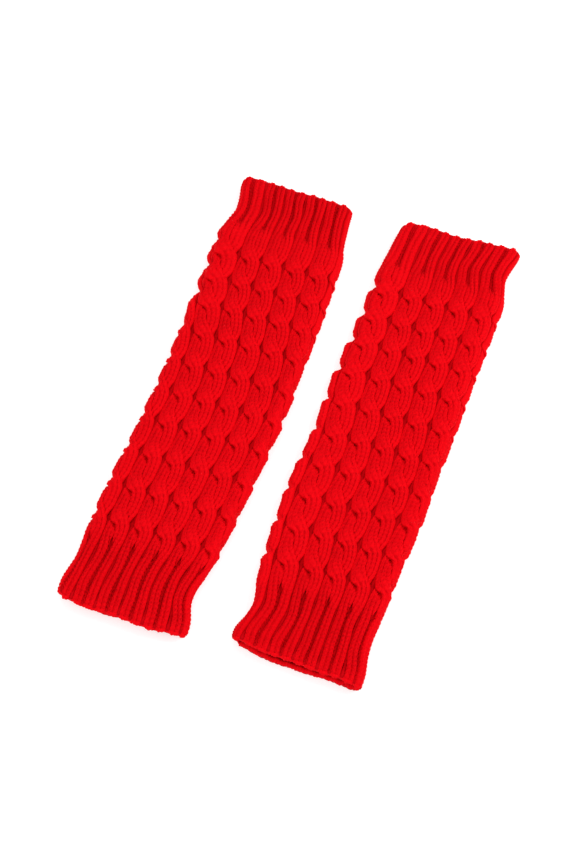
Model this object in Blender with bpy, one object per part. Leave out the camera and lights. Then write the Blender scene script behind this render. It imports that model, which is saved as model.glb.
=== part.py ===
"""A pair of cable-knit leg warmers laid flat, side by side. Metres, +Z up.

Each leg warmer is one knitted tube in three lengths: a ribbed upper cuff, a leg of twelve
cable columns and a ribbed lower cuff. It lies pressed flat, so its two layers lie on each
other with a low hollow between them. +Y runs along the tubes to the upper cuffs, and the
origin is at the bottom centre of the pair.
"""
import math

import bpy
import numpy as np

MM = 0.001


def table(columns, rows):
    """A short table as one array for each named column."""
    return {name: np.array(values, float) for name, values in zip(columns, zip(*rows))}


# Driving sizes, in millimetres
WALL = 2.8                  # cloth between the cables, both layers
CABLE_HEIGHT = 3.1          # crest of a cable strand above its gutter
SIDE_CREST = 2.5            # how far the cables at a fold reach past the plain wall
OVER_LIFT = 0.5             # the strand that passes over stands this much prouder
UNDER_DROP = 1.9            # and the strand below it sinks by this much
STRAND_HALF_WIDTH = 4.9
RIB_HEIGHT = 2.5            # crest of a two-stitch knit rib above its purl stitches
RIB_CROWN = 0.14            # half of a rib's flat crest, as a share of rib to rib
RIB_SLOPE = 0.3             # and the slope on each side of it
RIM_RELIEF = 0.55           # share of the relief left at an open edge
RIM_ROUNDING = 2.5          # length over which the relief reaches that share
COLUMN_PITCH = 18.2         # usual distance from gutter to gutter across the face
FACE_HALF = 50.0            # half width of the face that the gutters were read on
RIB_BLEND = 9.0             # length over which ribs run into cables
SEAM_GAP = 0.3
EDGE_FADE = 30.0            # how far an uneven edge is felt along the cuff
RIB_END_BULGE = 1.1         # a rib's end reaches past the purl stitches beside it

CROSSING_SPAN = 0.56        # share of a cable repeat that one crossing takes
CROSSING_SHARPNESS = 2.6    # how quickly the strands part again above and below it
RELIEF_FADES = (95.0, 150.0)  # degrees round the fold, from full relief to the flat underside
TOP_EDGE_FADES = (60.0, 120.0)  # degrees round the fold, from the top layer's edge to the lower

COLUMN_LINES = (0.0, 0.11, 0.28, 0.5, 0.72, 0.89)    # mesh lines across one cable column
RIB_LINES = (0.0, 1 / 6, 2 / 6, 3 / 6, 4 / 6, 5 / 6)  # three to a rib, two ribs to a column
FIRST_COLUMN = -3
LAST_COLUMN = 3
UNDERSIDE_LINES = 6
CROSSING_ROWS = (0.4, 0.2, 0.0, -0.2, -0.4)          # rows of points at each crossing
CUFF_ROWS = (0.0, 0.05, 0.3, 0.55, 0.8, 1.0)
INNER_CUFF_ROWS = (0.0, 0.35, 0.7, 1.0)
INNER_LEG_ROWS = np.linspace(0.0, 1.0, 9)
STRAIGHT_ROW = 0.7                                   # one more ring above the top crossing
LEAST_ROW_GAP = 3.0                                  # from a seam to the nearest ring

SECTION = ("along", "centre", "half_width", "hollow")
CABLES = ("along", "gutter")
EDGE = ("across", "upper_cuff", "lower_cuff", "lower_cuff_under")

LEFT = {
    "name": "left",
    "length": 400.0,
    "lower_cuff": 48.0,
    "upper_cuff": 351.0,
    "gutters": (-54.0, -35.8, -17.6, 0.4, 18.6, 37.0, 56.0),
    "sections": table(SECTION, (
        (0.0, -62.0, 49.6, 5.0),
        (12.0, -63.0, 49.3, 5.0),
        (25.0, -64.4, 45.8, 5.0),
        (36.0, -63.6, 44.9, 5.0),
        (53.0, -61.9, 47.4, 5.2),
        (70.0, -60.6, 49.0, 5.2),
        (100.0, -59.2, 50.2, 5.2),
        (140.0, -56.8, 50.6, 5.4),
        (185.0, -55.5, 51.3, 5.6),
        (235.0, -55.5, 51.0, 5.6),
        (280.0, -56.6, 51.2, 5.4),
        (325.0, -59.2, 52.0, 5.4),
        (342.0, -59.7, 52.0, 5.2),
        (355.0, -59.4, 49.0, 5.2),
        (366.0, -58.8, 46.8, 5.2),
        (382.0, -60.3, 47.0, 5.2),
        (392.0, -62.0, 48.2, 5.2),
        (400.0, -62.6, 48.2, 5.2),
    )),
    "cables": table(CABLES, (
        (70.2, -0.8),
        (99.0, -1.0),
        (128.9, -1.4),
        (157.8, -0.6),
        (185.0, 0.0),
        (212.3, -1.0),
        (241.7, -3.4),
        (269.3, -7.6),
        (295.0, -9.0),
        (321.2, -9.2),
    )),
    "edges": table(EDGE, (
        (-1.0, -3.0, 6.0, 7.5),
        (-0.9, -1.8, 2.0, 5.6),
        (-0.6, -3.0, 0.6, 4.2),
        (-0.2, -3.8, 0.4, 2.2),
        (0.2, -4.4, -0.4, 2.8),
        (0.6, -5.4, -1.2, 3.4),
        (0.9, -6.0, 0.6, 4.8),
        (1.0, -7.0, 2.6, 5.4),
    )),
}

RIGHT = {
    "name": "right",
    "length": 398.0,
    "lower_cuff": 52.0,
    "upper_cuff": 350.0,
    "gutters": (-58.5, -38.8, -18.2, 0.4, 18.2, 36.6, 56.0),
    "sections": table(SECTION, (
        (0.0, 64.6, 48.6, 7.2),
        (12.0, 64.3, 48.6, 6.8),
        (26.0, 64.6, 45.6, 6.4),
        (40.0, 66.2, 43.6, 6.0),
        (53.0, 65.6, 45.4, 5.8),
        (72.0, 65.5, 47.4, 5.4),
        (100.0, 65.3, 48.8, 5.4),
        (140.0, 66.8, 51.4, 5.6),
        (185.0, 68.6, 49.8, 5.8),
        (235.0, 69.2, 50.8, 5.8),
        (280.0, 71.2, 50.6, 5.6),
        (325.0, 72.4, 51.2, 5.6),
        (342.0, 73.0, 51.2, 5.4),
        (354.0, 72.3, 49.6, 5.2),
        (366.0, 71.6, 47.6, 5.2),
        (382.0, 73.6, 48.4, 5.2),
        (390.0, 75.0, 49.2, 5.2),
        (398.0, 75.8, 49.4, 5.2),
    )),
    "cables": table(CABLES, (
        (78.3, -2.2),
        (105.7, -3.4),
        (133.2, -3.2),
        (160.3, -2.4),
        (187.5, -3.7),
        (215.7, -5.5),
        (244.4, -7.0),
        (272.2, -7.2),
        (297.7, -7.8),
        (324.3, -7.6),
    )),
    "edges": table(EDGE, (
        (-1.0, -6.0, 9.0, 14.0),
        (-0.9, -3.6, 7.0, 10.6),
        (-0.6, -3.6, 5.6, 7.4),
        (-0.2, -5.6, 4.8, 5.4),
        (0.2, -4.8, 4.2, 4.2),
        (0.6, -4.2, 3.4, 3.4),
        (0.9, -3.0, 2.8, 4.0),
        (1.0, -4.0, 3.4, 5.0),
    )),
}


def smooth(x):
    """0 below 0, 1 above 1, and an even ease between."""
    x = np.clip(x, 0.0, 1.0)
    return x * x * (3.0 - 2.0 * x)


def fade(value, span):
    """0 before a span of values, 1 past it."""
    return smooth((value - span[0]) / (span[1] - span[0]))


def section_at(warmer, along):
    """Centre, half width of the plain wall and hollow height where the tube is cut across."""
    rows = warmer["sections"]
    centre = np.interp(along, rows["along"], rows["centre"])
    half = np.interp(along, rows["along"], rows["half_width"])
    hollow = np.interp(along, rows["along"], rows["hollow"])
    return centre, half - SIDE_CREST, hollow


def wall_point(half, thickness, inset, arc):
    """A point of the flattened tube's wall, by the length of arc from the top's centre line.

    Returns x, z, the outward normal and the degrees turned round the fold. inset moves the
    point in from the outer face, to the wall's plain inside.
    """
    radius = thickness / 2
    flat = half - radius
    turn = np.clip((np.abs(arc) - flat) / radius, 0.0, math.pi)
    under = np.maximum(np.abs(arc) - flat - math.pi * radius, 0.0)
    side = np.where(arc < 0, -1.0, 1.0)
    reach = np.minimum(np.abs(arc), flat) - under
    normal_x, normal_z = side * np.sin(turn), np.cos(turn)
    x = side * reach + normal_x * (radius - inset)
    z = radius + normal_z * (radius - inset)
    return x, z, normal_x, normal_z, np.degrees(turn)


def cable_relief(warmer, along, column):
    """Height of a rope cable over its gutter: two strands that cross over each other.

    Going down the leg the left strand passes over to the right, at every crossing.
    """
    rows = warmer["cables"]["along"]
    pitch = (rows[-1] - rows[0]) / (len(rows) - 1)
    nearest = rows[np.argmin(np.abs(rows - along))]
    down = (nearest - along) / pitch
    across = column - np.floor(column) - 0.5
    shift = smooth(down / CROSSING_SPAN + 0.5)
    lift = math.exp(-(CROSSING_SHARPNESS * down / CROSSING_SPAN) ** 2)
    height = np.zeros_like(across)
    for start, rise in ((-0.25, OVER_LIFT * lift), (0.25, -UNDER_DROP * lift)):
        middle = start * (1.0 - 2.0 * shift)
        away = (across - middle) * COLUMN_PITCH / STRAND_HALF_WIDTH
        strand = (CABLE_HEIGHT + rise) * np.sqrt(np.clip(1.0 - away ** 2, 0.0, 1.0))
        height = np.maximum(height, strand)
    return height


def rib_relief(column):
    """Height of the two-by-two rib: two ribs to a cable column, sunk between them."""
    across = np.abs((2.0 * column) % 1.0 - 0.5)
    return RIB_HEIGHT * (1.0 - smooth((across - RIB_CROWN) / RIB_SLOPE))


def column_places(warmer, columns):
    """How far across the face each place in the columns lies from its middle gutter."""
    gutters = warmer["gutters"]
    inside = np.interp(columns, range(FIRST_COLUMN, LAST_COLUMN + 1), gutters)
    return inside + np.maximum(columns - LAST_COLUMN, 0.0) * COLUMN_PITCH


def ring(warmer, along, lines, outer):
    """One closed ring of points round the tube, outside or inside its wall, in millimetres."""
    centre, half, hollow = section_at(warmer, along)
    thickness = hollow + 2 * WALL
    wide = (half + SIDE_CREST) / FACE_HALF
    gutter = np.interp(along, warmer["cables"]["along"], warmer["cables"]["gutter"])
    columns = [first + line for first in range(FIRST_COLUMN, LAST_COLUMN) for line in lines]
    columns = np.array(columns + [LAST_COLUMN, LAST_COLUMN + lines[2]])
    face = column_places(warmer, columns) * wide + gutter
    round_length = 2 * (2 * (half - thickness / 2)) + math.pi * thickness
    under = np.linspace(face[-1], face[0] + round_length, UNDERSIDE_LINES + 2)[1:-1]
    under_left = under > round_length / 2
    arc = np.concatenate([face, np.where(under_left, under - round_length, under)])
    columns = np.concatenate([columns, np.zeros(UNDERSIDE_LINES)])
    x, z, normal_x, normal_z, turned = wall_point(half, thickness, 0.0 if outer else WALL, arc)

    ribs = 1.0 - smooth((along - warmer["lower_cuff"]) / RIB_BLEND + 0.5)
    ribs += smooth((along - warmer["upper_cuff"]) / RIB_BLEND + 0.5)
    relief = ribs * rib_relief(columns) + (1.0 - ribs) * cable_relief(warmer, along, columns)
    relief *= 1.0 - fade(turned, RELIEF_FADES)
    to_edge = min(along, warmer["length"] - along)
    rounding = RIM_RELIEF + (1.0 - RIM_RELIEF) * smooth(to_edge / RIM_ROUNDING)
    if outer:
        x = x + normal_x * relief * rounding
        z = z + normal_z * relief * rounding

    edge = warmer["edges"]
    share = np.clip(x / half, -1.0, 1.0)
    top = 1.0 - fade(turned, TOP_EDGE_FADES)
    low = np.interp(share, edge["across"], edge["lower_cuff"]) * top
    low += np.interp(share, edge["across"], edge["lower_cuff_under"]) * (1.0 - top)
    high = np.interp(share, edge["across"], edge["upper_cuff"])
    bulge = RIB_END_BULGE * relief / RIB_HEIGHT
    low_share = max(0.0, 1.0 - along / EDGE_FADE)
    high_share = max(0.0, 1.0 - (warmer["length"] - along) / EDGE_FADE)
    y = along + low_share * (low - bulge) + high_share * (high + bulge)
    return np.column_stack([centre + x, y, z])


def outer_leg_rows(warmer):
    """Where the leg's rings lie: a few to each cable crossing, and one at each seam."""
    rows = warmer["cables"]["along"]
    pitch = (rows[-1] - rows[0]) / (len(rows) - 1)
    start = warmer["lower_cuff"] + SEAM_GAP / 2
    end = warmer["upper_cuff"] - SEAM_GAP / 2
    inside = [row - share * pitch for row in rows for share in CROSSING_ROWS]
    inside += [rows[-1] + STRAIGHT_ROW * pitch, end - RIB_BLEND / 2]
    low, high = start + LEAST_ROW_GAP, end - LEAST_ROW_GAP
    return [start] + [row for row in inside if low < row < high] + [end]


def tube_length(warmer, name, lines, outer_rows, inner_rows, material):
    """One length of the tube as a closed wall: rings outside, rings inside, two end rims."""
    rings = [ring(warmer, along, lines, outer=True) for along in outer_rows]
    rings += [ring(warmer, along, lines, outer=False) for along in reversed(inner_rows)]
    points = np.concatenate(rings) * MM
    count = len(rings[0])
    faces = []
    for level in range(len(rings)):
        above = (level + 1) % len(rings)
        for step in range(count):
            beside = (step + 1) % count
            faces.append((level * count + step, level * count + beside,
                          above * count + beside, above * count + step))
    mesh = bpy.data.meshes.new(name)
    mesh.from_pydata(points.tolist(), [], faces)
    mesh.shade_smooth()
    mesh.set_sharp_from_angle(angle=math.radians(50))
    mesh.materials.append(material)
    return bpy.data.objects.new(name, mesh)


def yarn():
    """Bright red acrylic yarn, dull and slightly fuzzy."""
    material = bpy.data.materials.new("Red acrylic yarn")
    material.use_nodes = True
    shader = material.node_tree.nodes["Principled BSDF"]
    shader.inputs["Base Color"].default_value = (0.75, 0.004, 0.008, 1.0)
    shader.inputs["Roughness"].default_value = 0.85
    shader.inputs["Metallic"].default_value = 0.0
    return material


def leg_warmer(warmer, material):
    """The three lengths of one leg warmer, from the lower cuff up."""
    low, high = warmer["lower_cuff"], warmer["upper_cuff"]
    cuffs = (("lower_cuff", 0.0, low - SEAM_GAP / 2, False),
             ("upper_cuff", high + SEAM_GAP / 2, warmer["length"], True))
    pieces = []
    for piece, start, end, opens_up in cuffs:
        rows = [1.0 - share for share in reversed(CUFF_ROWS)] if opens_up else CUFF_ROWS
        outer = [start + (end - start) * share for share in rows]
        inner = [start + (end - start) * share for share in INNER_CUFF_ROWS]
        name = warmer["name"] + "_" + piece
        pieces.append(tube_length(warmer, name, RIB_LINES, outer, inner, material))
    outer = outer_leg_rows(warmer)
    inner = [outer[0] + (outer[-1] - outer[0]) * share for share in INNER_LEG_ROWS]
    name = warmer["name"] + "_leg"
    pieces.append(tube_length(warmer, name, COLUMN_LINES, outer, inner, material))
    return pieces


def main():
    for item in list(bpy.data.objects):
        bpy.data.objects.remove(item, do_unlink=True)
    pair = bpy.data.collections.new("Pair of cable-knit leg warmers")
    bpy.context.scene.collection.children.link(pair)
    material = yarn()
    pieces = leg_warmer(LEFT, material) + leg_warmer(RIGHT, material)
    corners = np.array([vertex.co for piece in pieces for vertex in piece.data.vertices])
    low, high = corners.min(axis=0), corners.max(axis=0)
    middle = (low + high) / 2
    for piece in pieces:
        for vertex in piece.data.vertices:
            vertex.co.x -= middle[0]
            vertex.co.y -= middle[1]
        pair.objects.link(piece)


main()
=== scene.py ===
"""The look of a pair of cable-knit leg warmers, laid flat side by side on a pale floor.

Every knit stitch that shows is modelled: rope cables of two three-stitch strands that
cross over each other, two-by-two ribs at the cuffs, and the edges that they end in. The
strands lie on a plain ground cloth, which is the purl side between them.
"""
import math

import bpy
import numpy as np
from bpy.props import FloatProperty, FloatVectorProperty, PointerProperty, StringProperty
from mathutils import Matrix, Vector


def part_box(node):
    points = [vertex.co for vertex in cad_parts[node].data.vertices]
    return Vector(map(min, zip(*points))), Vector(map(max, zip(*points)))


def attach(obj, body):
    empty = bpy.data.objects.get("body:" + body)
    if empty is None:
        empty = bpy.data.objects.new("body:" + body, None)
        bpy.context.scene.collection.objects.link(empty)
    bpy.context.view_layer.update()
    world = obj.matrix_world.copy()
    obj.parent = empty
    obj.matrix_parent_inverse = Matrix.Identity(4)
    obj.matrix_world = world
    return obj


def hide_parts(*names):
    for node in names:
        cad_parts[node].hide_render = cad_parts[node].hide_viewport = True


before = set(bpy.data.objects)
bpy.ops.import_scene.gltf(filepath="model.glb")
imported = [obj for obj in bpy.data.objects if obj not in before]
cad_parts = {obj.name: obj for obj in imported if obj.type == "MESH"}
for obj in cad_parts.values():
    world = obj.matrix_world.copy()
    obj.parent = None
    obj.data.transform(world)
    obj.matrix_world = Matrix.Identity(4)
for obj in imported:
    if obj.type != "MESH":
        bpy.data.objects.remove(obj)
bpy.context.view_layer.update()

bl_info = {
    "name": "Cable-knit leg warmers",
    "version": (1, 0, 0),
    "blender": (4, 5, 0),
    "location": "View3D > Sidebar > Leg warmers",
    "description": "Knits a pair of leg warmers stitch by stitch round their plain solids",
    "category": "Object",
}

MM = 0.001


def table(columns, rows):
    """A short table as one array for each named column."""
    return {name: np.array(values, float) for name, values in zip(columns, zip(*rows))}


# How the tube is knitted. Its cable columns are numbered by the gutter on their left.
FACE_START, FACE_END, TUBE_END = -3, 3, 9    # six columns on the face, six on the underside
COLUMNS = TUBE_END - FACE_START
LEFT_GUTTER = -2            # the gutter next to the left fold
COLUMN_STITCHES = 8         # six knit stitches and two purl ones
STRAND_WALES = 3            # stitch columns in a strand, two strands to a cable

# Sizes in millimetres, measured on the photograph at a length of 400
PAIR_MIDDLE = 5.05          # from the tables' zero to the middle of the pair, across
ROW_HEIGHT = 3.5            # one row of stitches
FACE_HALF = 50.0            # half width of the face that the gutters were read on
SIDE_CREST = 2.5            # how far the strands at a fold reach past the ground cloth
SOLID_WALL = 2.8            # wall of the plain solids, which sets how thick the pair lies
FLOOR_GAP = 0.02            # the least height over the floor
SMOOTHING = 17              # odd count of 1 mm steps that a table's corners are eased over
TABLE_MARGIN = 40           # steps that a table's ends are carried on past their places

# The folds at the sides
FOLD_LINE = 0.6             # how high in a cable, as a share, it keeps its width round a fold
PINCH_SPAN = 0.14           # share of a repeat that a pinch at a crossing spreads over
FOLD_PINCH = (4.0, 2.4)     # how far the left and right folds draw in where they are pinched
FOLD_SWELL = 0.12           # and how far they stand out between, as a share of that
FOLD_RISE = 2.0             # how far above the crossings the right fold's notches lie
FOLD_CALM = 0.6             # how much shallower the stitches are on the folds' brink
PRESSED_TURN = (110.0, 170.0)    # degrees round a fold over which the relief is pressed flat
MOUTH_TURN = (60.0, 120.0)       # and over which a mouth's upper edge passes into its lower one

# Where the ribs of the cuffs give way to cables
RIB_EASE = 14.0             # length over which the stitches move from their places in a rib
RIB_STOP = 6.0              # length over which a rib's relief turns into a cable's
RIB_INSIDE = 0.3            # share of these lengths that lies in the cuff

# Unevenness of the cloth: a few soft waves, each with its own length, direction and phase
WAVES = 5
WAVES_ACROSS, WAVES_UP = (0.02, 0.11), (0.02, 0.12)    # radians to a millimetre
PHASES = (0, 6.28)
WAVES_SUM = 3.0             # what the waves' sum is divided by
LIE_UNEVEN = 0.35           # how far the face's height varies, in millimetres
LIE_END, LIE_FADE = 100.0, 60.0  # degrees round a fold where that ends, and that it fades over
PILE_UNEVEN = 0.25          # how far the strands' height varies
EDGE_WAVES = 1.5            # how many times closer the edges' waves are than the cloth's
EDGE_FADE = 30.0            # how far an uneven edge is felt along the cuff
LIE_SEED, EDGE_SEED, PILE_SEED, KNOT_SEED = 7, 5, 11, 41
STRAND_SEED, STRAND_SEED_STEP = 100, 31

# Cuts across a tube: place along it, its centre, its half width and the hollow's height
SECTION = ("along", "centre", "half_width", "hollow")
# Rows of crossings: place along the tube, how far the gutters lean to the side there, how much
# further out the one next to the left fold lies, and how far above them that fold's notches lie
CABLES = ("along", "gutter", "left_gutter", "left_rise")
# Edges of the mouths, at shares of the half width: how far above a straight cut they lie
EDGE = ("across", "upper_cuff", "lower_cuff", "lower_cuff_under")

# Each leg warmer: its length, where its cuffs end, its gutters across the face, and its tables
LEFT = {
    "name": "left",
    "length": 400.0,
    "lower_cuff": 48.0,
    "upper_cuff": 351.0,
    "gutters": (-54.0, -35.8, -17.6, 0.4, 18.6, 37.0, 56.0),
    "sections": table(SECTION, (
        (0.0, -62.0, 49.6, 5.0),
        (12.0, -63.0, 49.3, 5.0),
        (25.0, -64.4, 45.8, 5.0),
        (36.0, -63.6, 44.9, 5.0),
        (53.0, -61.9, 47.4, 5.2),
        (70.0, -60.6, 49.0, 5.2),
        (100.0, -59.2, 50.2, 5.2),
        (140.0, -56.8, 50.6, 5.4),
        (185.0, -55.5, 51.3, 5.6),
        (235.0, -55.5, 51.0, 5.6),
        (280.0, -56.6, 51.2, 5.4),
        (325.0, -59.2, 52.0, 5.4),
        (342.0, -59.7, 52.0, 5.2),
        (355.0, -59.4, 49.0, 5.2),
        (366.0, -58.8, 46.8, 5.2),
        (382.0, -60.3, 47.0, 5.2),
        (392.0, -62.0, 48.2, 5.2),
        (400.0, -62.6, 48.2, 5.2),
    )),
    "cables": table(CABLES, (
        (70.2, -0.8, 0.0, 2.0),
        (99.0, -1.0, 0.0, 2.0),
        (128.9, -1.4, 0.0, 2.0),
        (157.8, -0.6, 0.0, 2.0),
        (185.0, 0.0, 0.0, 2.0),
        (212.3, -1.0, 0.0, 2.0),
        (241.7, -3.4, -0.5, 2.0),
        (269.3, -7.6, -4.0, 10.0),
        (295.0, -9.0, -5.5, 12.0),
        (321.2, -9.2, -5.5, 12.0),
    )),
    "edges": table(EDGE, (
        (-1.0, -3.0, 6.0, 7.5),
        (-0.9, -1.8, 2.0, 5.6),
        (-0.6, -3.0, 0.6, 4.2),
        (-0.2, -3.8, 0.4, 2.2),
        (0.2, -4.4, -0.4, 2.8),
        (0.6, -5.4, -1.2, 3.4),
        (0.9, -6.0, 0.6, 4.8),
        (1.0, -7.0, 2.6, 5.4),
    )),
}

RIGHT = {
    "name": "right",
    "length": 398.0,
    "lower_cuff": 52.0,
    "upper_cuff": 350.0,
    "gutters": (-58.5, -38.8, -18.2, 0.4, 18.2, 36.6, 56.0),
    "sections": table(SECTION, (
        (0.0, 64.6, 48.6, 7.2),
        (12.0, 64.3, 48.6, 6.8),
        (26.0, 64.6, 45.6, 6.4),
        (40.0, 66.2, 43.6, 6.0),
        (53.0, 65.6, 45.4, 5.8),
        (72.0, 65.5, 47.4, 5.4),
        (100.0, 65.3, 48.8, 5.4),
        (140.0, 66.8, 51.4, 5.6),
        (185.0, 68.6, 49.8, 5.8),
        (235.0, 69.2, 50.8, 5.8),
        (280.0, 71.2, 50.6, 5.6),
        (325.0, 72.4, 51.2, 5.6),
        (342.0, 73.0, 51.2, 5.4),
        (354.0, 72.3, 49.6, 5.2),
        (366.0, 71.6, 47.6, 5.2),
        (382.0, 73.6, 48.4, 5.2),
        (390.0, 75.0, 49.2, 5.2),
        (398.0, 75.8, 49.4, 5.2),
    )),
    "cables": table(CABLES, (
        (78.3, -2.2, 0.0, 2.0),
        (105.7, -3.4, 0.0, 2.0),
        (133.2, -3.2, 0.0, 2.0),
        (160.3, -2.4, 0.0, 2.0),
        (187.5, -3.7, 0.0, 2.0),
        (215.7, -5.5, -1.0, 2.0),
        (244.4, -7.0, -2.0, 2.5),
        (272.2, -7.2, -2.5, 3.5),
        (297.7, -7.8, -3.0, 4.5),
        (324.3, -7.6, -3.0, 5.0),
    )),
    "edges": table(EDGE, (
        (-1.0, -6.0, 10.8, 13.2),
        (-0.9, -3.6, 9.6, 9.8),
        (-0.6, -3.6, 8.0, 7.0),
        (-0.2, -5.6, 6.4, 5.2),
        (0.2, -4.8, 5.4, 4.2),
        (0.6, -4.2, 4.6, 3.4),
        (0.9, -3.0, 3.6, 4.0),
        (1.0, -4.0, 3.8, 5.0),
    )),
}
WARMERS = (LEFT, RIGHT)
LENGTHS = ("lower_cuff", "leg", "upper_cuff")

# How two strands cross, going down one repeat from -0.5 to 0.5 of its length. Their edges
# are shares of the column. Over is how far the one on top rises, and its two brims are how
# high its edges then stand. Hook is how far the one below stays sunk beside it.
CROSSING = table(
    ("down", "over_left", "over_right", "over", "left_brim", "right_brim",
     "under_left", "under_right", "hook"), (
        (-0.50, 0.01, 0.50, 0.0, 0.2, 0.9, 0.50, 0.99, 0.0),
        (-0.40, 0.01, 0.50, 0.0, 0.2, 0.9, 0.50, 0.99, 0.0),
        (-0.30, 0.01, 0.53, 0.1, 0.2, 0.9, 0.48, 0.98, 0.0),
        (-0.20, 0.01, 0.60, 0.5, 0.2, 0.9, 0.44, 0.95, 0.0),
        (-0.12, 0.01, 0.69, 0.9, 0.3, 0.8, 0.38, 0.90, 0.0),
        (-0.05, 0.02, 0.82, 1.0, 0.3, 0.6, 0.29, 0.89, 0.3),
        (0.02, 0.04, 0.93, 1.0, 0.5, 0.3, 0.20, 0.84, 0.8),
        (0.06, 0.09, 0.96, 1.0, 0.8, 0.2, 0.13, 0.78, 1.0),
        (0.10, 0.19, 0.99, 1.0, 0.9, 0.2, 0.08, 0.72, 1.0),
        (0.14, 0.30, 0.99, 1.0, 0.9, 0.2, 0.05, 0.66, 1.0),
        (0.20, 0.39, 0.99, 0.8, 0.9, 0.2, 0.02, 0.59, 0.9),
        (0.28, 0.44, 0.99, 0.5, 0.9, 0.2, 0.01, 0.54, 0.6),
        (0.38, 0.48, 0.99, 0.2, 0.9, 0.2, 0.01, 0.51, 0.2),
        (0.50, 0.50, 0.99, 0.0, 0.9, 0.2, 0.01, 0.50, 0.0),
    ))
CROSSING_EASE = (0.01, 9)   # steps of a repeat, and how many, that its corners are eased over
OVER_CREST = 1.45           # crest of the strand on top, as a share of the cable's height
COVERED = (0.0, 0.16)       # where the strand below sinks, in under the other's upper edge
UNCOVERED = (-0.30, -0.04)  # and where it rises again, out past the other's lower edge
PASSED = (-0.05, 0.05)      # part of the repeat where the first gives way to the second
SUNK = 1.2                  # how deep that strand goes, as a share of the cable's height
CABLE_FOOT, CABLE_DOME = 0.15, 0.77    # a column's height at its sides, and what its middle adds
STRAND_ROUND = 0.5          # millimetres that a strand's middle stands over its sides
ROUNDNESS = 2.4             # power that rounds off a column and a strand on top

# How the strands run
WANDER, WANDER_WAVES = 0.3, (0.08, 0.2)      # how far each strays, and its radians to a millimetre
RIB_WANDER, RIB_WANDER_WAVE = 0.2, 0.17      # the same for a rib
SQUARE_FIRST, SQUARE_LOSS, SQUARE_LEAST = 1.15, 0.5, 0.3    # share of a slant that rows follow
LEVEL_END = 7.0             # length at the mouths over which rows of stitches level out
SKIRT_DEPTH, SKIRT_IN = -1.7, 0.25           # a strand's hidden sides, down in the ground cloth

# Rib stitches, as shares of a cable column: knit pairs between narrow purl gutters
RIB_LEFT = (0.05, 0.25, 0.45, 0.5)
RIB_RIGHT = (0.5, 0.55, 0.75, 0.95)
RIB_MIDDLE = 0.25           # from the column's middle to the middle of each rib
RIB_DROP, RIB_ROUNDNESS = 0.9, 3.6           # how far a rib rounds over, and the power
PURL_FLOOR, PURL_WALL, PURL_SLOPE = 0.05, 0.40, 0.4    # gutter between ribs: floor, step, width
RIB_BOLD = 0.4              # how much deeper the stitches of the ribs are drawn

# Where a rib ends at a mouth, in millimetres and shares of its height
MOUTH_REACH = 8.0           # length over which it bulges out
MOUTH_BULGE, MOUTH_SCALLOP = 0.5, 0.8        # how far it does, and how fast that falls aside
SHALLOW_LEAST, SHALLOW_SPAN = 0.10, (3.0, 22.0)        # relief left there, and where it grows
SHALLOW_FILL = 0.8          # height that the cloth evens out to
ROUND_OVER = 2.6            # length over which the last row rounds down

# The holes where a purl gutter between two ribs ends and the strands meet, in millimetres
HOLE_IN = 1.0               # how far inside the leg they lie
HOLE_LOW, HOLE_HIGH = 2.6, 2.0               # how long they are at the lower and upper cuff
HOLE_HIGH_SHARE = 0.7       # how open the upper ones are beside the lower ones
HOLE_WIDTH, HOLE_DEPTH = 0.9, 1.6

# Lines of points across one stitch: its outer edge, left leg, middle and right leg
STITCH_LINES = (0.0, 0.25, 0.5, 0.75)
STITCH_LIFT = (-1.10, 0.30, -0.35, 0.30)     # millimetres, from the yarn's crest
ROW_DIP = (0.0, -0.95, -0.35, -0.95)         # further in, where one row meets the next
ROW_LEVELS = (0.0, 0.36, 0.68)               # lines of points along one stitch
LEG_SLANT = 0.72                             # rows that a stitch's legs climb outwards
STRAND_EDGE_LIFT = 0.3                       # how much of the lift a strand's outer edges have
LOOSE_STITCH = 0.05                          # millimetres that a stitch varies in height

# The knotted edges at the mouths, in millimetres but for the shares of the yarn's radius
KNOT_STEPS, KNOT_SIDES = 4, 8                # points along one stitch of the edge, and round it
KNOT_THIN, KNOT_BEAT = 0.85, 0.30            # shares between its stitches, and what each adds
KNOT_LOOSE, KNOT_LOOSE_YARN = 0.22, 0.2      # how far a stitch strays, and its yarn swells
KNOT_HEIGHT, KNOT_RIB_RISE = -0.7, 0.3       # over the ground cloth, and up each rib
KNOT_IN, KNOT_RIB_OUT = 0.9, 1.2             # back from the mouth, and out at each rib
UNDER_EASE = 0.3                             # part of a column where the underside begins
UNDER_THICK, UNDER_DOWN, UNDER_CALM, UNDER_IN = 0.9, 1.2, 0.9, 1.1    # and what changes there

# Lines of points across one column of the ground cloth, and its heights in millimetres
GROUND_LINES = (0.0, 0.045, 0.09, 0.25, 0.42, 0.46, 0.5, 0.54, 0.58, 0.75, 0.91, 0.955)
GUTTER_HALF = 0.06          # half width of a purl gutter, as a share of the column
GUTTER_DEPTH = 0.8          # how deep the gutters lie
GUTTER_RISE, GUTTER_PINCH = 0.8, 0.9         # how they rise in the leg, and sink at crossings
GUTTER_RIB_RISE = 0.9       # how they rise between ribs
PURL_BARS = 0.22            # how far their purl rows stand out and in
UNDER_STRANDS = -1.3        # height of the cloth under the strands
RIM_RISE, RIM_SPAN = 1.6, (2.0, 11.0)        # how it rises to the mouths, and over what length
INSIDE_BULGE = 0.35         # how far the ribs show on the inside

# The yarn's surface, in millimetres. Its fibres are too fine to show, so they are drawn as
# clumps about as wide as a ply.
FIBRE_CLUMP, DYE_PATCH, PLY_RELIEF = 0.8, 9.0, 0.3


def smooth(x):
    """0 below 0, 1 above 1, and an even ease between."""
    x = np.clip(x, 0.0, 1.0)
    return x * x * (3.0 - 2.0 * x)


def fade(value, span):
    """0 before a span of values, 1 past it."""
    return smooth((value - span[0]) / (span[1] - span[0]))


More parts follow.
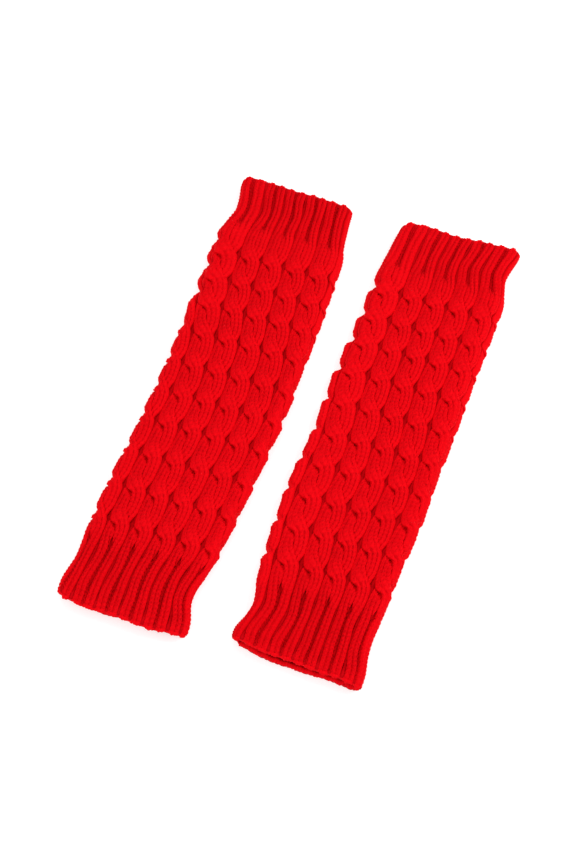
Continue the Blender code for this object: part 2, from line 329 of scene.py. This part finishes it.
def eased(rows, name, at, key="along", step=1.0, smoothing=SMOOTHING):
    """A table's column at places given in its first column, with its corners eased."""
    first, last = rows[key][0], rows[key][-1]
    grid = np.arange(first - TABLE_MARGIN * step, last + (TABLE_MARGIN + 1) * step, step)
    values = np.pad(np.interp(grid, rows[key], rows[name]), smoothing // 2, mode="edge")
    window = np.hanning(smoothing + 2)[1:-1]
    return np.interp(at, grid, np.convolve(values, window / window.sum(), "valid"))


def section(warmer, along, knit):
    """The flattened tube where it is cut across: numbers in millimetres, arrays like along."""
    rows = warmer["sections"]
    wide = eased(rows, "half_width", along)
    top = eased(rows, "hollow", along) + 2 * SOLID_WALL
    radius = (top - knit.under_relief) / 2
    flat = wide - SIDE_CREST - radius
    turn_radius = radius + knit.cable_height * FOLD_LINE
    around = 4 * flat + 2 * math.pi * turn_radius
    return {
        "centre": eased(rows, "centre", along) - PAIR_MIDDLE,
        "flat": flat,
        "radius": radius,
        "turn_radius": turn_radius,
        "around": around,
        "stretch": wide / FACE_HALF,
        "shift": eased(warmer["cables"], "gutter", along),
        "left_shift": eased(warmer["cables"], "left_gutter", along),
        "left_rise": eased(warmer["cables"], "left_rise", along),
        "gutters": warmer["gutters"],
    }


def arc_of(cut, column):
    """How far round from the top's centre line a place in the columns lies, in millimetres."""
    first, last = cut["gutters"][0], cut["gutters"][-1]
    gutters = np.interp(column, range(FACE_START, FACE_END + 1), cut["gutters"])
    face = gutters * cut["stretch"] + cut["shift"]
    face = face + np.maximum(1.0 - np.abs(column - LEFT_GUTTER), 0.0) * cut["left_shift"]
    hidden = (cut["around"] - (last - first) * cut["stretch"]) / (TUBE_END - FACE_END)
    return face + np.maximum(column - FACE_END, 0.0) * hidden


def repeats(warmer):
    """Where the rows of crossings lie along the tube, and the length of one repeat."""
    rows = warmer["cables"]["along"]
    return rows, (rows[-1] - rows[0]) / (len(rows) - 1)


def pinch(warmer, along):
    """1 where the cables cross, fading to 0 up and down the tube."""
    rows, pitch = repeats(warmer)
    return sum(np.exp(-((along - middle) / (PINCH_SPAN * pitch)) ** 2) for middle in rows)


def sway(arc, along, seed):
    """A soft unevenness of the cloth, between about -1 and 1."""
    draw = np.random.default_rng(seed)
    total = 0.0
    for wave in range(WAVES):
        across, up = draw.uniform(*WAVES_ACROSS), draw.uniform(*WAVES_UP)
        total = total + np.sin(across * arc + up * along + draw.uniform(*PHASES))
    return total / WAVES_SUM


def laid(warmer, arc, along, height, knit):
    """Points of the laid tube: round it, along it and above its ground cloth, in metres."""
    cut = section(warmer, along, knit)
    arc = np.mod(arc + cut["around"] / 2, cut["around"]) - cut["around"] / 2
    reach = np.abs(arc)
    turn = np.clip((reach - cut["flat"]) / cut["turn_radius"], 0.0, math.pi)
    under = np.maximum(reach - cut["flat"] - math.pi * cut["turn_radius"], 0.0)
    side = np.where(arc < 0, -1.0, 1.0)
    turned = np.degrees(turn)
    pressed = 1.0 - (1.0 - knit.under_relief / knit.cable_height) * fade(turned, PRESSED_TURN)
    lift = cut["radius"] + np.where(height > 0, height * pressed, height)
    swell = FOLD_SWELL * (1.0 - ribbed(warmer, along, RIB_EASE))
    rise = np.where(side < 0, cut["left_rise"], FOLD_RISE)
    notch = pinch(warmer, along - rise) - swell
    fold = np.sin(turn) * notch * np.where(side < 0, *FOLD_PINCH)
    x = side * (np.minimum(reach, cut["flat"]) - under + np.sin(turn) * lift - fold)
    z = knit.under_relief + cut["radius"] + np.cos(turn) * lift
    z = z + LIE_UNEVEN * sway(arc, along, LIE_SEED) * fade(LIE_END - turned, (0.0, LIE_FADE))

    edge = warmer["edges"]
    share = np.clip(x / (cut["flat"] + cut["radius"]), -1.0, 1.0)
    top = 1.0 - fade(turned, MOUTH_TURN)
    low = np.interp(share, edge["across"], edge["lower_cuff"]) * top
    low += np.interp(share, edge["across"], edge["lower_cuff_under"]) * (1.0 - top)
    high = np.interp(share, edge["across"], edge["upper_cuff"])
    low_share = np.clip(1.0 - along / EDGE_FADE, 0.0, 1.0)
    high_share = np.clip(1.0 - (warmer["length"] - along) / EDGE_FADE, 0.0, 1.0)
    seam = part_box(warmer["name"] + "_leg")[0][1] / MM
    uneven = sway(arc * EDGE_WAVES, along, EDGE_SEED) * np.maximum(low_share, high_share) ** 2
    y = along - warmer["lower_cuff"] + seam + low_share * low + high_share * high + uneven
    points = np.stack([cut["centre"] + x, y, np.maximum(z, FLOOR_GAP)], axis=-1)
    return points * MM


def row_counts(warmer):
    """How many rows of stitches each length of the tube has, and where the lengths end."""
    ends = (0.0, warmer["lower_cuff"], warmer["upper_cuff"], warmer["length"])
    return [round((b - a) / ROW_HEIGHT) for a, b in zip(ends, ends[1:])], ends


def row_marks(warmer):
    """Where each line of points lies along the tube, its stitch row and its level in the row."""
    counts, ends = row_counts(warmer)
    starts = np.concatenate(
        [np.linspace(a, b, n, endpoint=False) for a, b, n in zip(ends, ends[1:], counts)]
        + [[ends[-1]]])
    level = np.arange((len(starts) - 1) * len(ROW_LEVELS) + 1)
    row = level // len(ROW_LEVELS)
    share = np.array(ROW_LEVELS)[level % len(ROW_LEVELS)]
    position = np.interp(row + share, np.arange(len(starts)), starts)
    return position, row, level % len(ROW_LEVELS)


def piece_levels(warmer):
    """The first and last line of points of each length of the tube."""
    marks = np.cumsum([0] + row_counts(warmer)[0]) * len(ROW_LEVELS)
    return dict(zip(LENGTHS, zip(marks[:-1], marks[1:])))


def ribbed(warmer, along, reach):
    """1 in the cuffs and 0 in the leg, easing over reach millimetres, most of them in the leg."""
    low = 1.0 - smooth((along - warmer["lower_cuff"]) / reach + RIB_INSIDE)
    return low + smooth((along - warmer["upper_cuff"]) / reach + (1.0 - RIB_INSIDE))


def crossed(name, down):
    """A column of the crossings' table, with its corners eased."""
    step, count = CROSSING_EASE
    return eased(CROSSING, name, down, "down", step, count)


def crossings(warmer, along, first_side):
    """Where a strand's edges lie in its column, whether it is on top, and how far down it is."""
    rows, pitch = repeats(warmer)
    down = (rows[:, None] - along[None, :]) / pitch
    nearest = np.argmin(np.abs(down), axis=0)
    down = np.take_along_axis(down, nearest[None, :], axis=0)[0]
    from_top = len(rows) - 1 - nearest
    on_top = (from_top % 2 == 0) == (first_side < 0)
    left = np.where(on_top, crossed("over_left", down), crossed("under_left", down))
    right = np.where(on_top, crossed("over_right", down), crossed("under_right", down))
    return left, right, on_top, down


def buried(place, down):
    """How far the strand below is sunk, at places across the column and down the repeat."""
    first = fade(crossed("over_right", down) - place, COVERED)
    later = fade(place - crossed("over_left", down), UNCOVERED) * crossed("hook", down)
    passed = fade(down, PASSED)
    return first * (1.0 - passed) + later * passed


def cable_form(wales, in_column, on_top, down, knit):
    """Height of a strand in a cable: proud where it passes over, and sunk where it is below."""
    dome = 1.0 - np.abs(2 * np.clip(in_column, 0.0, 1.0) - 1.0) ** ROUNDNESS
    own = np.abs(wales / STRAND_WALES * 2 - 1.0)[None, :]
    lobe = knit.cable_height * (CABLE_FOOT + CABLE_DOME * dome) + STRAND_ROUND * (1 - own ** 2)
    sides = np.where(wales[None, :] < STRAND_WALES / 2, crossed("left_brim", down)[:, None],
                     crossed("right_brim", down)[:, None])
    passing = knit.cable_height * (sides + (OVER_CREST - sides) * (1 - own ** ROUNDNESS))
    over = np.where(on_top, crossed("over", down), 0.0)[:, None]
    below = np.where(on_top[:, None], 0.0, buried(in_column, down[:, None]))
    return lobe + (passing - lobe) * over - knit.cable_height * SUNK * below


def rib_form(from_middle, from_end, knit):
    """Height of a rib: two knit stitches rounded over, and the purl stitch beside them sunk."""
    crest = knit.rib_height * np.sqrt(1.0 - RIB_DROP * np.clip(from_middle, 0, 1) ** RIB_ROUNDNESS)
    step = np.clip(1.0 - (from_middle - 1.0) / PURL_SLOPE, 0.0, 1.0)
    sunk = knit.rib_height * (PURL_FLOOR + PURL_WALL * step)
    ribs = np.where(from_middle <= 1.0, crest, sunk)[None, :]
    shallow = SHALLOW_LEAST + (1.0 - SHALLOW_LEAST) * fade(from_end, SHALLOW_SPAN)
    return knit.rib_height * (1 - shallow) * SHALLOW_FILL + ribs * shallow


def hole(warmer, along):
    """How open the hole is that a purl gutter ends in, where the two strands part."""
    low = np.exp(-((along - warmer["lower_cuff"] - HOLE_IN) / HOLE_LOW) ** 2)
    high = np.exp(-((along - warmer["upper_cuff"] + HOLE_IN) / HOLE_HIGH) ** 2)
    return low + HOLE_HIGH_SHARE * high


def fold_turn(cut, arc):
    """How far round a fold places on a strand lie, in radians."""
    around = cut["around"][:, None]
    past = np.abs(np.mod(arc + around / 2, around) - around / 2) - cut["flat"][:, None]
    return np.clip(past / cut["turn_radius"][:, None], 0.0, math.pi)


def strand(warmer, column, first_side, knit):
    """One strand from end to end: round, along and height of its lines of points."""
    along, row, level = row_marks(warmer)
    cut = section(warmer, along, knit)
    left, right, on_top, down = crossings(warmer, along, first_side)
    rib = ribbed(warmer, along, RIB_EASE)
    rib_middle = 0.5 + RIB_MIDDLE * first_side
    middle = arc_of(cut, column + (rib * rib_middle + (1 - rib) * (left + right) / 2))
    width = arc_of(cut, column + 1) - arc_of(cut, column)
    from_end = np.minimum(along, warmer["length"] - along)
    draw = np.random.default_rng(STRAND_SEED + STRAND_SEED_STEP * column)
    wander = np.sin(along * draw.uniform(*WANDER_WAVES) + draw.uniform(*PHASES))
    rib_wander = np.sin(along * RIB_WANDER_WAVE + draw.uniform(*PHASES))
    middle = middle + wander * WANDER
    middle = middle + first_side * RIB_WANDER * rib * rib_wander

    # rows stay square to the strand, so its stitches keep their width where it slants
    run, climb = np.gradient(middle), np.gradient(along)
    run = run * np.clip(SQUARE_FIRST - SQUARE_LOSS * np.abs(run / climb), SQUARE_LEAST, 1.0)
    length = np.hypot(run, climb)
    run, climb = run / length, climb / length

    # across the strand: the stitches' edges in cables or in ribs, and the lines between them
    per_stitch = len(STITCH_LINES)
    wales = np.arange(STRAND_WALES * per_stitch + 1) / per_stitch
    ends = RIB_LEFT if first_side < 0 else RIB_RIGHT
    rib_line = np.interp(wales, np.arange(STRAND_WALES + 1), ends) - rib_middle
    cable_line = (wales / STRAND_WALES - 0.5) * ((right - left) * climb)[:, None]
    across = (rib[:, None] * rib_line + (1 - rib[:, None]) * cable_line) * width[:, None]
    lines = np.arange(len(wales)) % per_stitch
    slant = np.abs(2 * np.array(STITCH_LINES)[lines] - 1)

    row_height = np.gradient(along[::len(ROW_LEVELS)]).mean()
    ends_level = smooth(from_end / LEVEL_END)
    up = LEG_SLANT * row_height * slant[None, :] * ends_level[:, None]
    arc = middle[:, None] + climb[:, None] * across + run[:, None] * up
    where = along[:, None] - run[:, None] * across * ends_level[:, None] + climb[:, None] * up

    # the mouths, where each rib ends a little further out than the gutters
    knit_wales = wales if first_side < 0 else STRAND_WALES - wales
    from_middle = np.abs(knit_wales - 1.0)
    way = np.where(along < warmer["length"] / 2, -1.0, 1.0) * (1.0 - smooth(from_end / MOUTH_REACH))
    where = where + way[:, None] * (MOUTH_BULGE - MOUTH_SCALLOP * from_middle ** 2)

    in_column = (arc - arc_of(cut, column)[:, None]) / width[:, None]
    cable = cable_form(wales, in_column, on_top, down, knit)
    ribs = rib_form(from_middle, from_end[:, None], knit)
    quick = ribbed(warmer, along, RIB_STOP)[:, None]
    form = ribs * quick + cable * (1 - quick)

    # the strands part at the hole, beside the stitch that is next to the other rib
    gap = hole(warmer, along)[:, None]
    inner = np.clip(wales - 2.0 if first_side < 0 else 1.0 - wales, 0.0, 1.0)
    arc = arc + first_side * HOLE_WIDTH * gap * inner[None, :]
    form = form - HOLE_DEPTH * gap * inner[None, :]

    # the stitches themselves
    edge_line = (wales == 0) | (wales == STRAND_WALES)
    lift = np.array(STITCH_LIFT)[lines] * np.where(edge_line, STRAND_EDGE_LIFT, 1.0)
    dip = np.array(ROW_DIP)[lines][None, :] * (level == 0)[:, None]
    loose = draw.normal(0.0, LOOSE_STITCH, (row.max() + 2, len(wales)))[row]
    relief = knit.stitch_depth * (lift[None, :] + dip) + loose
    calm = 1.0 - FOLD_CALM * np.sin(fold_turn(cut, arc))
    relief = relief * calm * (1.0 + RIB_BOLD * rib[:, None])
    round_over = np.sqrt(1 - (1 - np.clip(from_end[:, None] / ROUND_OVER, 0, 1)) ** 2)
    height = (form + relief) * round_over
    height = height + PILE_UNEVEN * sway(arc, where, PILE_SEED)

    # a skirt on each side, tucked into the ground cloth
    skirt = np.full((len(along), 1), SKIRT_DEPTH)
    arc = np.hstack([arc[:, :1] + SKIRT_IN, arc, arc[:, -1:] - SKIRT_IN])
    where = np.hstack([where[:, :1], where, where[:, -1:]])
    height = np.hstack([skirt, height, skirt])
    return arc, where, height


def closed_tube(grid, first):
    """Faces of a tube of rings, closed round each ring and capped at both ends."""
    rings, count = grid.shape[:2]
    index = first + np.arange(rings * count).reshape(rings, count)
    beside = np.roll(index, -1, axis=1)
    quads = np.stack([index[:-1], beside[:-1], beside[1:], index[1:]], axis=-1).reshape(-1, 4)
    return quads.tolist() + [index[0][::-1].tolist(), index[-1].tolist()]


def ring_faces(grid):
    """Faces of rings of points, closed round each ring and from the last ring to the first."""
    rings, count = grid.shape[:2]
    index = np.arange(rings * count).reshape(rings, count)
    on, beside = np.roll(index, -1, axis=0), np.roll(index, -1, axis=1)
    both = np.roll(on, -1, axis=1)
    return np.stack([index, beside, both, on], axis=-1).reshape(-1, 4).tolist()


def grid_normals(points):
    """Outward normals of a tube of rings, closed round each ring."""
    ahead = np.gradient(points, axis=0)
    beside = np.roll(points, -1, axis=1) - np.roll(points, 1, axis=1)
    out = np.cross(beside, ahead)
    return out / np.maximum(np.linalg.norm(out, axis=-1, keepdims=True), 1e-12)


def made(name, points, faces, material, context, normals=None):
    """A mesh object from points and faces, smooth but for its flat ends, in the scene."""
    mesh = bpy.data.meshes.new(name)
    mesh.from_pydata(points.tolist(), [], faces)
    mesh.polygons.foreach_set("use_smooth", [len(face) == 4 for face in faces])
    if normals is not None:
        mesh.normals_split_custom_set_from_vertices(normals.tolist())
    mesh.materials.append(material)
    piece = bpy.data.objects.new(name, mesh)
    context.collection.objects.link(piece)
    return piece


def srgb(text):
    """A hex colour as linear red, green, blue and alpha."""
    parts = [int(text[i:i + 2], 16) / 255 for i in (1, 3, 5)]
    return [p / 12.92 if p <= 0.04045 else ((p + 0.055) / 1.055) ** 2.4 for p in parts] + [1.0]


def add_node(tree, kind, settings=None, links=None):
    """Adds a node, sets its values and joins other nodes' outputs to its inputs."""
    node = tree.nodes.new(kind)
    for name, value in (settings or {}).items():
        if isinstance(name, int) or name in node.inputs:
            node.inputs[name].default_value = value
        else:
            setattr(node, name, value)
    for name, output in (links or {}).items():
        tree.links.new(output, node.inputs[name])
    return node


def spun_acrylic(name, colour, yarn):
    """Dyed acrylic, spun in soft plies: dull, with a thin fuzz that catches light at the edges."""
    old = bpy.data.materials.get(name)
    if old:
        return old
    material = bpy.data.materials.new(name)
    material.use_nodes = True
    tree = material.node_tree
    shader = tree.nodes["Principled BSDF"]
    place = add_node(tree, "ShaderNodeTexCoord")
    fibre = add_node(tree, "ShaderNodeTexNoise",
                     {"Scale": 1 / (FIBRE_CLUMP * MM), "Detail": 3.0, "Roughness": 0.6},
                     {"Vector": place.outputs["Object"]})
    patch = add_node(tree, "ShaderNodeTexNoise",
                     {"Scale": 1 / (DYE_PATCH * MM), "Detail": 2.0},
                     {"Vector": place.outputs["Object"]})
    both = add_node(tree, "ShaderNodeMath", {"operation": "MULTIPLY_ADD", 1: 0.55},
                    {0: patch.outputs["Fac"], 2: fibre.outputs["Fac"]})
    shade = add_node(tree, "ShaderNodeValToRGB", links={"Fac": both.outputs["Value"]})
    deep, bright = srgb(yarn.deep), srgb(colour)
    shade.color_ramp.elements[0].position = 0.35
    shade.color_ramp.elements[0].color = deep
    shade.color_ramp.elements[1].position = 0.75
    shade.color_ramp.elements[1].color = bright
    plies = add_node(tree, "ShaderNodeBump", {"Strength": 0.8, "Distance": PLY_RELIEF * MM},
                     {"Height": fibre.outputs["Fac"]})
    tree.links.new(shade.outputs["Color"], shader.inputs["Base Color"])
    tree.links.new(plies.outputs["Normal"], shader.inputs["Normal"])
    shader.inputs["Roughness"].default_value = yarn.roughness
    shader.inputs["IOR"].default_value = 1.49
    shader.inputs["Specular IOR Level"].default_value = yarn.gloss
    shader.inputs["Sheen Weight"].default_value = yarn.fuzz
    shader.inputs["Sheen Roughness"].default_value = 0.5
    shader.inputs["Sheen Tint"].default_value = srgb(yarn.fuzz_colour)
    return material


class LegWarmerKnit(bpy.types.PropertyGroup):
    """How proud the knitting stands, in millimetres"""
    cable_height: FloatProperty(
        name="Cable height", description="Crest of a cable over the ground cloth, in mm",
        default=3.0, min=1.0, max=5.0)
    rib_height: FloatProperty(
        name="Rib height", description="Crest of a rib over its purl gutter, in mm",
        default=2.7, min=1.0, max=4.0)
    stitch_depth: FloatProperty(
        name="Stitch depth", description="How deep the grooves between stitches are drawn",
        default=1.2, min=0.2, max=1.5)
    under_relief: FloatProperty(
        name="Pressed relief", description="Height left to the knitting on the underside, in mm",
        default=1.5, min=0.5, max=3.0)
    wall: FloatProperty(
        name="Ground cloth", description="Depth of the cloth's inside under the ribs, in mm",
        default=2.7, min=2.0, max=3.0)
    edge_yarn: FloatProperty(
        name="Edge yarn", description="Radius of the cast-on and cast-off edge, in mm",
        default=1.6, min=0.5, max=2.5)


class LegWarmerYarn(bpy.types.PropertyGroup):
    """The yarn's colour and surface"""
    colour: StringProperty(
        name="Colour", description="Colour of the yarn in full light, as sRGB hex",
        default="#E0020E")
    deep: StringProperty(
        name="Deep colour", description="Colour between the fibres, as sRGB hex",
        default="#BE0208")
    # Darker than the yarn's colour: painted shade for the purl side, which shows only deep in the
    # gutters, in the pockets at the crossings and inside the tubes' mouths.
    ground: StringProperty(
        name="Ground colour, painted shade", description="Colour of the purl side, as sRGB hex",
        default="#B40008")
    fuzz_colour: StringProperty(
        name="Fuzz colour", description="Tint of the loose fibres, as sRGB hex",
        default="#FF1420")
    roughness: FloatProperty(
        name="Roughness", description="Roughness of the spun fibres", default=0.75,
        min=0.0, max=1.0, subtype="FACTOR")
    gloss: FloatProperty(
        name="Gloss", description="Strength of the fibres' highlights", default=0.04,
        min=0.0, max=1.0, subtype="FACTOR")
    fuzz: FloatProperty(
        name="Fuzz", description="How much light the loose fibres catch", default=0.16,
        min=0.0, max=1.0, subtype="FACTOR")


class LegWarmerStage(bpy.types.PropertyGroup):
    """Camera, lamps and floor"""
    target: FloatVectorProperty(
        name="Target", description="Point on the floor that the camera looks at",
        default=(-0.0051, -0.0142, 0.0), size=3, subtype="TRANSLATION", unit="LENGTH")
    azimuth: FloatProperty(
        name="Azimuth", description="Camera's angle round the pair",
        default=math.radians(18.5), subtype="ANGLE")
    elevation: FloatProperty(
        name="Elevation", description="Camera's angle above the floor",
        default=math.radians(59.0), subtype="ANGLE")
    distance: FloatProperty(
        name="Distance", description="From the camera to its target", default=1.184,
        unit="LENGTH")
    lens: FloatProperty(
        name="Lens", description="Focal length on a 36 mm sensor, in mm", default=66.0)
    floor: StringProperty(
        name="Floor", description="Colour of the floor, as sRGB hex", default="#C8C8C8")
    sky: FloatProperty(
        name="Surrounding light", description="Strength of the even light from all sides",
        default=0.84, min=0.0)
    key: FloatProperty(
        name="Key lamp", description="Power of the soft lamp to the right, in watts",
        default=12.0, min=0.0)
    fill: FloatProperty(
        name="Fill lamp", description="Power of the soft lamp to the front left, in watts",
        default=7.0, min=0.0)


def finished(piece, node):
    """Rides and stands for its node."""
    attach(piece, "root")
    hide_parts(node)


class KnitStrands(bpy.types.Operator):
    """Knits the strands of every cable and rib, stitch by stitch"""
    bl_idname = "leg_warmers.knit_strands"
    bl_label = "Knit cables and ribs"

    def execute(self, context):
        knit, yarn = context.scene.leg_warmer_knit, context.scene.leg_warmer_yarn
        material = spun_acrylic("Spun acrylic, knit side", yarn.colour, yarn)
        for warmer in WARMERS:
            strands = [laid(warmer, *strand(warmer, column, side, knit), knit)
                       for column in range(FACE_START, TUBE_END) for side in (-1.0, 1.0)]
            turned = [grid_normals(strand_points) for strand_points in strands]
            for length, (first, last) in piece_levels(warmer).items():
                points = np.stack(strands)[:, first:last + 1]
                normals = np.stack(turned)[:, first:last + 1]
                each = points.shape[1] * points.shape[2]
                faces = [face for index, grid in enumerate(points)
                         for face in closed_tube(grid, index * each)]
                node = warmer["name"] + "_" + length
                piece = made(node + "_stitches", points.reshape(-1, 3), faces, material, context,
                             normals.reshape(-1, 3))
                finished(piece, node)
        return {"FINISHED"}


class WorkEdges(bpy.types.Operator):
    """Works the cast-on and cast-off edges round the four mouths"""
    bl_idname = "leg_warmers.work_edges"
    bl_label = "Work the edges"

    def execute(self, context):
        knit, yarn = context.scene.leg_warmer_knit, context.scene.leg_warmer_yarn
        material = spun_acrylic("Spun acrylic, knit side", yarn.colour, yarn)
        for warmer in WARMERS:
            mouths = (("lower_cuff", 0.0, -1.0), ("upper_cuff", warmer["length"], 1.0))
            for length, end, out in mouths:
                grid = edge_rings(warmer, end, out, knit)
                faces = ring_faces(grid)
                if out < 0:
                    faces = [face[::-1] for face in faces]
                node = warmer["name"] + "_" + length
                piece = made(node + "_edge", grid.reshape(-1, 3), faces, material, context)
                finished(piece, node)
        return {"FINISHED"}


def edge_rings(warmer, end, out, knit):
    """Rings of the knotted edge that closes the last row of stitches, round the mouth."""
    stitches = COLUMNS * COLUMN_STITCHES
    spot = np.arange(stitches * KNOT_STEPS) / (stitches * KNOT_STEPS)
    column = FACE_START + COLUMNS * spot
    arc = arc_of(section(warmer, np.full_like(spot, end), knit), column)
    rib = 0.5 - 0.5 * np.cos(4 * math.pi * column)
    beat = np.abs(np.sin(math.pi * stitches * spot))
    draw = np.random.default_rng(KNOT_SEED)
    loose = np.repeat(draw.normal(0.0, KNOT_LOOSE, stitches), KNOT_STEPS)
    under = smooth((column - FACE_END) / UNDER_EASE) * smooth((TUBE_END - column) / UNDER_EASE)
    radius = knit.edge_yarn * (KNOT_THIN + KNOT_BEAT * beat)
    radius = radius + KNOT_LOOSE_YARN * loose + UNDER_THICK * under
    height = KNOT_HEIGHT + KNOT_RIB_RISE * rib * knit.rib_height - UNDER_DOWN * under
    angle = np.linspace(0, 2 * math.pi, KNOT_SIDES, endpoint=False)
    rise = height[:, None] + radius[:, None] * np.cos(angle)
    back = end - out * KNOT_IN + radius[:, None] * np.sin(angle)
    reach = rib * (KNOT_RIB_OUT - UNDER_CALM * under) + loose - UNDER_IN * under
    back = back + reach[:, None] * out
    arcs = np.repeat(arc[:, None], KNOT_SIDES, axis=1)
    return laid(warmer, arcs, back, rise, knit)


class LayGround(bpy.types.Operator):
    """Lays the ground cloth under the strands: the purl side and the inside of the tubes"""
    bl_idname = "leg_warmers.lay_ground"
    bl_label = "Lay the ground cloth"

    def execute(self, context):
        knit, yarn = context.scene.leg_warmer_knit, context.scene.leg_warmer_yarn
        # The purl side and the inside of the tubes take the darker ground colour, which is painted
        # shade for these hollows.
        material = spun_acrylic("Spun acrylic, purl side in painted shade", yarn.ground, yarn)
        for warmer in WARMERS:
            along = row_marks(warmer)[0]
            for length, (first, last) in piece_levels(warmer).items():
                grid = ground_rings(warmer, along[first:last + 1], knit)
                node = warmer["name"] + "_" + length
                piece = made(node + "_ground", grid.reshape(-1, 3), ring_faces(grid), material,
                             context)
                finished(piece, node)
        return {"FINISHED"}


def every(step, marks):
    """Every so many of the marks, always with the last one."""
    some = marks[::step]
    return some if some[-1] == marks[-1] else np.append(some, marks[-1])


def ground_rings(warmer, along, knit):
    """Rings round the ground cloth: outside, then back along the inside of the tube."""
    column = np.array([first + line for first in range(FACE_START, TUBE_END)
                       for line in GROUND_LINES])
    near = np.abs(column - np.round(2 * column) / 2) < GUTTER_HALF
    outer = every(2, along)
    arc = arc_of(section(warmer, outer[:, None], knit), column[None, :])
    where = np.repeat(outer[:, None], len(column), axis=1)
    bars = PURL_BARS * np.cos(np.arange(len(outer)) * math.pi)[:, None]
    ribs = ribbed(warmer, outer, RIB_STOP)[:, None]
    from_end = np.minimum(outer, warmer["length"] - outer)
    rim = RIM_RISE * (1.0 - fade(from_end, RIM_SPAN))[:, None]
    gutter = (GUTTER_RISE - GUTTER_PINCH * pinch(warmer, outer)[:, None]) * (1.0 - ribs)
    gutter = bars - GUTTER_DEPTH + GUTTER_RIB_RISE * ribs + gutter
    outside = laid(warmer, arc, where, np.where(near[None, :], gutter, UNDER_STRANDS) + rim, knit)

    inside = every(3, along)[::-1]
    arc = arc_of(section(warmer, inside[:, None], knit), column[None, :])
    where = np.repeat(inside[:, None], len(column), axis=1)
    ribs = ribbed(warmer, inside, RIB_EASE)[:, None]
    bulge = INSIDE_BULGE * ribs * np.where(near[None, :], -1.0, 1.0)
    return np.concatenate([outside, laid(warmer, arc, where, -knit.wall + bulge, knit)])


class SetStage(bpy.types.Operator):
    """Sets up the floor, the soft lamps and the camera at the photograph's angle"""
    bl_idname = "leg_warmers.set_stage"
    bl_label = "Set the stage"

    def execute(self, context):
        stage = context.scene.leg_warmer_stage
        bpy.ops.mesh.primitive_plane_add(size=6.0, location=(0, 0, 0))
        floor = context.object
        floor.name = "studio_floor"
        floor.data.materials.append(opal_floor(stage.floor))

        world = bpy.data.worlds.new("Studio surround")
        context.scene.world = world
        world.use_nodes = True
        background = world.node_tree.nodes["Background"]
        background.inputs["Color"].default_value = (1.0, 1.0, 1.0, 1.0)
        background.inputs["Strength"].default_value = stage.sky

        for name, spot, size, power in (
                ("Key softbox", (1.0, 0.45, 1.1), 0.8, stage.key),
                ("Fill softbox", (-0.7, -0.9, 1.2), 1.2, stage.fill)):
            lamp = bpy.data.lights.new(name, "AREA")
            lamp.size = size
            lamp.energy = power
            holder = bpy.data.objects.new(name, lamp)
            holder.location = spot
            holder.rotation_euler = (-Vector(spot)).to_track_quat("-Z", "Y").to_euler()
            context.collection.objects.link(holder)

        lens = bpy.data.cameras.new("Camera")
        lens.lens = stage.lens
        lens.sensor_width = 36.0
        lens.sensor_fit = "AUTO"
        lens.clip_start = 0.05
        camera = bpy.data.objects.new("Camera", lens)
        around, up = stage.azimuth, stage.elevation
        level = math.cos(up)
        back = Vector((math.sin(around) * level, -math.cos(around) * level, math.sin(up)))
        camera.location = Vector(stage.target) + back * stage.distance
        camera.rotation_euler = (-back).to_track_quat("-Z", "Y").to_euler()
        context.collection.objects.link(camera)
        context.scene.camera = camera
        context.scene.view_settings.view_transform = "Standard"
        return {"FINISHED"}


def opal_floor(colour):
    """Opal white acrylic, lit from below like a light table, so that shadows stay faint."""
    material = bpy.data.materials.new("Opal white acrylic floor")
    material.use_nodes = True
    shader = material.node_tree.nodes["Principled BSDF"]
    shader.inputs["Base Color"].default_value = srgb(colour)
    shader.inputs["Roughness"].default_value = 0.9
    shader.inputs["Specular IOR Level"].default_value = 0.1
    shader.inputs["Emission Color"].default_value = (1.0, 1.0, 1.0, 1.0)
    shader.inputs["Emission Strength"].default_value = 0.55
    return material


class LegWarmerPanel(bpy.types.Panel):
    """The steps that dress the pair, in order"""
    bl_idname = "VIEW3D_PT_leg_warmers"
    bl_label = "Leg warmers"
    bl_space_type = "VIEW_3D"
    bl_region_type = "UI"
    bl_category = "Leg warmers"

    def draw(self, context):
        column = self.layout.column()
        for step in (KnitStrands, WorkEdges, LayGround, SetStage):
            column.operator(step.bl_idname)
        for name in ("leg_warmer_knit", "leg_warmer_yarn", "leg_warmer_stage"):
            settings = getattr(context.scene, name)
            for key in settings.__annotations__:
                column.prop(settings, key)


CLASSES = (LegWarmerKnit, LegWarmerYarn, LegWarmerStage, KnitStrands, WorkEdges, LayGround,
           SetStage, LegWarmerPanel)


def register():
    for item in CLASSES:
        bpy.utils.register_class(item)
    bpy.types.Scene.leg_warmer_knit = PointerProperty(type=LegWarmerKnit)
    bpy.types.Scene.leg_warmer_yarn = PointerProperty(type=LegWarmerYarn)
    bpy.types.Scene.leg_warmer_stage = PointerProperty(type=LegWarmerStage)


def unregister():
    del bpy.types.Scene.leg_warmer_stage
    del bpy.types.Scene.leg_warmer_yarn
    del bpy.types.Scene.leg_warmer_knit
    for item in reversed(CLASSES):
        bpy.utils.unregister_class(item)


def main():
    register()
    bpy.ops.leg_warmers.set_stage()
    bpy.ops.leg_warmers.knit_strands()
    bpy.ops.leg_warmers.work_edges()
    bpy.ops.leg_warmers.lay_ground()


if __name__ == "__main__":
    main()
